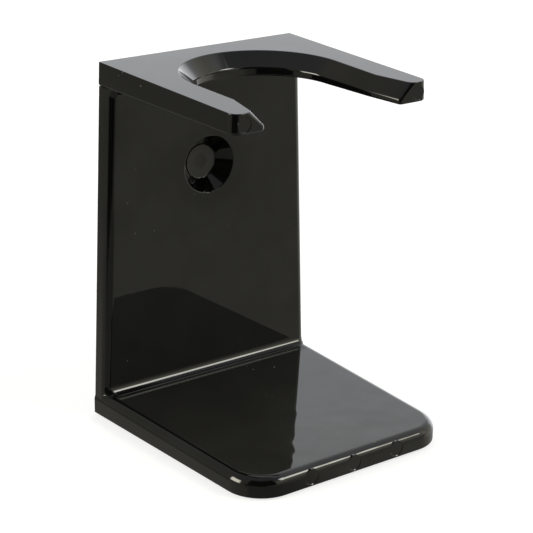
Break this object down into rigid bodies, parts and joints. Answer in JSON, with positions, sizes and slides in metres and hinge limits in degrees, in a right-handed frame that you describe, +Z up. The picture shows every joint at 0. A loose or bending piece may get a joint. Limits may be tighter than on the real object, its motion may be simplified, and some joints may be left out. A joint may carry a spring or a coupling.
{
  "type": "shaving brush stand",
  "caption": "Free-standing C-shaped stand of gloss black plastic with a forked cradle that hangs a shaving brush or razor over a flat base.",
  "frame": {"origin": "on the plane the stand rests on, under the middle of the whole object's box", "axes": "+Z up, -Y towards the open front of the C, +X to the right seen from the front"},
  "size_m": [0.0746, 0.075, 0.1055],
  "materials": {
    "base_black": "polished black",
    "panel_black": "polished black",
    "cradle_black": "polished black",
    "pad_rubber": "matt"
  },
  "bodies": {
    "root": {"base": "base_black", "back_panel": "panel_black", "cradle": "cradle_black", "pad_front_left": "pad_rubber", "pad_front_right": "pad_rubber", "pad_rear_left": "pad_rubber", "pad_rear_right": "pad_rubber"}
  },
  "joints": []
}
